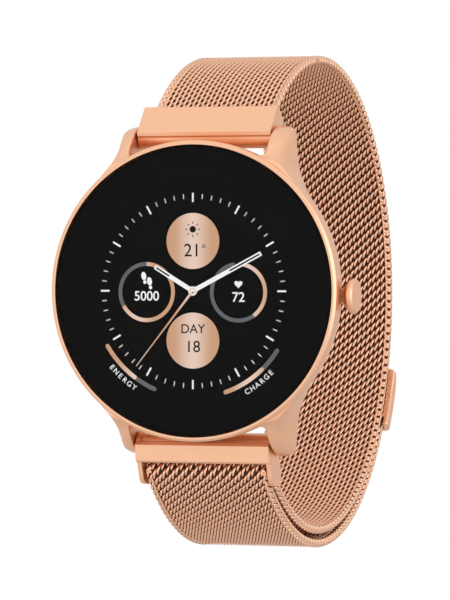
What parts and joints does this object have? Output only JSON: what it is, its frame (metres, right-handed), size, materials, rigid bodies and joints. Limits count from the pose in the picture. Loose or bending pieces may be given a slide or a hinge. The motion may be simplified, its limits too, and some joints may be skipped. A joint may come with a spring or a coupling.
{
  "type": "round smartwatch",
  "caption": "Round smartwatch with domed glass, lugged case, push crown and a woven wire strap folded back to a magnetic clasp",
  "frame": {"origin": "centre of the strap's loop, where the wrist goes", "axes": "+X is out through the crown, +Z is 12 o'clock and the dial faces -Y"},
  "size_m": [0.0444, 0.07, 0.0724],
  "materials": {
    "mid_case": "satin rose gold",
    "bezel_ring": "satin rose gold",
    "crown_cap": "satin rose gold",
    "upper_link": "satin rose gold",
    "lower_link": "satin rose gold",
    "clasp_housing": "satin rose gold",
    "back_cover": "satin rose gold",
    "upper_mesh_1": "woven wire, rose gold",
    "upper_mesh_2": "woven wire, rose gold",
    "upper_mesh_3": "woven wire, rose gold",
    "upper_mesh_4": "woven wire, rose gold",
    "lower_mesh": "woven wire, rose gold",
    "fold_mesh": "woven wire, rose gold",
    "tail_mesh_1": "woven wire, rose gold",
    "tail_mesh_2": "woven wire, rose gold",
    "tail_mesh_3": "woven wire, rose gold",
    "cover_glass": "clear black-backed glass",
    "sensor_window": "clear black-backed glass",
    "glass_gasket": "soft black",
    "display_pad": "soft black",
    "back_gasket": "soft black",
    "crown_o_rings": "soft black",
    "battery_pad": "soft black",
    "display_panel": "black display stack",
    "display_flex": "amber film",
    "inner_frame": "milled plate",
    "main_board": "circuit board",
    "sensor_board": "circuit board",
    "board_chips": "black moulding",
    "display_connector": "black moulding",
    "switch_body": "black moulding",
    "light_baffle": "black moulding",
    "clasp_pad": "black moulding",
    "frame_screws": "plain steel",
    "processor_shield": "plain steel",
    "motor_can": "plain steel",
    "motor_shaft": "plain steel",
    "switch_bracket": "plain steel",
    "crown_tube": "plain steel",
    "crown_stem": "plain steel",
    "crown_clip": "plain steel",
    "back_screws": "plain steel",
    "upper_bar_tube": "plain steel",
    "upper_bar_pin": "plain steel",
    "upper_release_pin": "plain steel",
    "upper_bar_spring": "plain steel",
    "lower_bar_tube": "plain steel",
    "lower_bar_pin": "plain steel",
    "lower_release_pin": "plain steel",
    "lower_bar_spring": "plain steel",
    "fold_bar": "plain steel",
    "motor_rotor": "dense weight",
    "switch_button": "light keycap",
    "battery": "pouch cell",
    "sensor_leds": "lamp",
    "charging_pads": "gold plated",
    "charging_magnets": "nickel plated magnet",
    "clasp_magnets": "nickel plated magnet"
  },
  "bodies": {
    "head": {"mid_case": "mid_case", "bezel_ring": "bezel_ring", "cover_glass": "cover_glass", "glass_gasket": "glass_gasket", "display_panel": "display_panel", "display_pad": "display_pad", "display_flex": "display_flex", "inner_frame": "inner_frame", "frame_screws": "frame_screws", "main_board": "main_board", "processor_shield": "processor_shield", "board_chips": "board_chips", "display_connector": "display_connector", "battery": "battery", "battery_pad": "battery_pad", "motor_can": "motor_can", "motor_shaft": "motor_shaft", "switch_bracket": "switch_bracket", "switch_body": "switch_body", "crown_tube": "crown_tube", "back_cover": "back_cover", "back_gasket": "back_gasket", "back_screws": "back_screws", "sensor_window": "sensor_window", "sensor_board": "sensor_board", "sensor_leds": "sensor_leds", "light_baffle": "light_baffle", "charging_pads": "charging_pads", "charging_magnets": "charging_magnets"},
    "rotor": {"motor_rotor": "motor_rotor"},
    "crown_slider": {"crown_clip": "crown_clip"},
    "crown": {"crown_cap": "crown_cap", "crown_stem": "crown_stem", "crown_o_rings": "crown_o_rings"},
    "button": {"switch_button": "switch_button"},
    "upper_band": {"upper_link": "upper_link", "upper_bar_tube": "upper_bar_tube", "upper_bar_pin": "upper_bar_pin", "upper_bar_spring": "upper_bar_spring", "upper_mesh_1": "upper_mesh_1"},
    "upper_release": {"upper_release_pin": "upper_release_pin"},
    "band_b": {"upper_mesh_2": "upper_mesh_2"},
    "band_c": {"upper_mesh_3": "upper_mesh_3"},
    "band_d": {"upper_mesh_4": "upper_mesh_4"},
    "lower_band": {"lower_link": "lower_link", "lower_bar_tube": "lower_bar_tube", "lower_bar_pin": "lower_bar_pin", "lower_bar_spring": "lower_bar_spring", "fold_bar": "fold_bar", "fold_mesh": "fold_mesh", "lower_mesh": "lower_mesh"},
    "lower_release": {"lower_release_pin": "lower_release_pin"},
    "tail_a": {"tail_mesh_1": "tail_mesh_1"},
    "tail_b": {"tail_mesh_2": "tail_mesh_2"},
    "tail_c": {"tail_mesh_3": "tail_mesh_3", "clasp_housing": "clasp_housing", "clasp_magnets": "clasp_magnets", "clasp_pad": "clasp_pad"}
  },
  "joints": [
    {"name": "crown_press", "type": "slide", "parent": "head", "child": "crown_slider", "axis": [-1, 0, 0], "range_m": [0, 0.00045], "stiffness_N_per_m": 400, "springref_m": -0.0004},
    {"name": "crown_turn", "type": "hinge", "parent": "crown_slider", "child": "crown", "pos_m": [0, -0.029, 0.0001], "axis": [1, 0, 0], "continuous": true},
    {"name": "switch_travel", "type": "slide", "parent": "head", "child": "button", "axis": [-1, 0, 0], "range_m": [0, 0.00045]},
    {"name": "motor_spin", "type": "hinge", "parent": "head", "child": "rotor", "pos_m": [0, -0.0275, -0.0054], "axis": [1, 0, 0], "continuous": true},
    {"name": "upper_swing", "type": "hinge", "parent": "head", "child": "upper_band", "pos_m": [0, -0.026, 0.0227], "axis": [1, 0, 0], "range_deg": [0, 30]},
    {"name": "band_flex_b", "type": "hinge", "parent": "upper_band", "child": "band_b", "pos_m": [0, -0.00307, 0.03507], "axis": [1, 0, 0], "range_deg": [0, 12]},
    {"name": "band_flex_c", "type": "hinge", "parent": "band_b", "child": "band_c", "pos_m": [0, 0.02019, 0.02883], "axis": [1, 0, 0], "range_deg": [0, 12]},
    {"name": "band_flex_d", "type": "hinge", "parent": "band_c", "child": "band_d", "pos_m": [0, 0.03348, 0.01088], "axis": [1, 0, 0], "range_deg": [0, 12]},
    {"name": "lower_swing", "type": "hinge", "parent": "head", "child": "lower_band", "pos_m": [0, -0.026, -0.0211], "axis": [-1, 0, 0], "range_deg": [0, 28]},
    {"name": "tail_lift", "type": "hinge", "parent": "lower_band", "child": "tail_a", "pos_m": [0, -0.02669, -0.02606], "axis": [-1, 0, 0], "range_deg": [0, 24]},
    {"name": "tail_flex_b", "type": "hinge", "parent": "tail_a", "child": "tail_b", "pos_m": [0, 0.00093, -0.03713], "axis": [-1, 0, 0], "range_deg": [0, 18]},
    {"name": "tail_flex_c", "type": "hinge", "parent": "tail_b", "child": "tail_c", "pos_m": [0, 0.02128, -0.03012], "axis": [-1, 0, 0], "range_deg": [0, 12]},
    {"name": "upper_release", "type": "slide", "parent": "upper_band", "child": "upper_release", "axis": [1, 0, 0], "range_m": [0, 0.0012], "stiffness_N_per_m": 200, "springref_m": -0.0015},
    {"name": "lower_release", "type": "slide", "parent": "lower_band", "child": "lower_release", "axis": [1, 0, 0], "range_m": [0, 0.0012], "stiffness_N_per_m": 200, "springref_m": -0.0015}
  ],
  "couplings": [
    {"joint": "switch_travel", "follows": "crown_press", "ratio": 1},
    {"joint": "band_flex_b", "follows": "upper_swing", "ratio": 0.4},
    {"joint": "band_flex_c", "follows": "upper_swing", "ratio": 0.4},
    {"joint": "band_flex_d", "follows": "upper_swing", "ratio": 0.4},
    {"joint": "tail_flex_b", "follows": "tail_lift", "ratio": 0.75},
    {"joint": "tail_flex_c", "follows": "tail_lift", "ratio": 0.5}
  ]
}
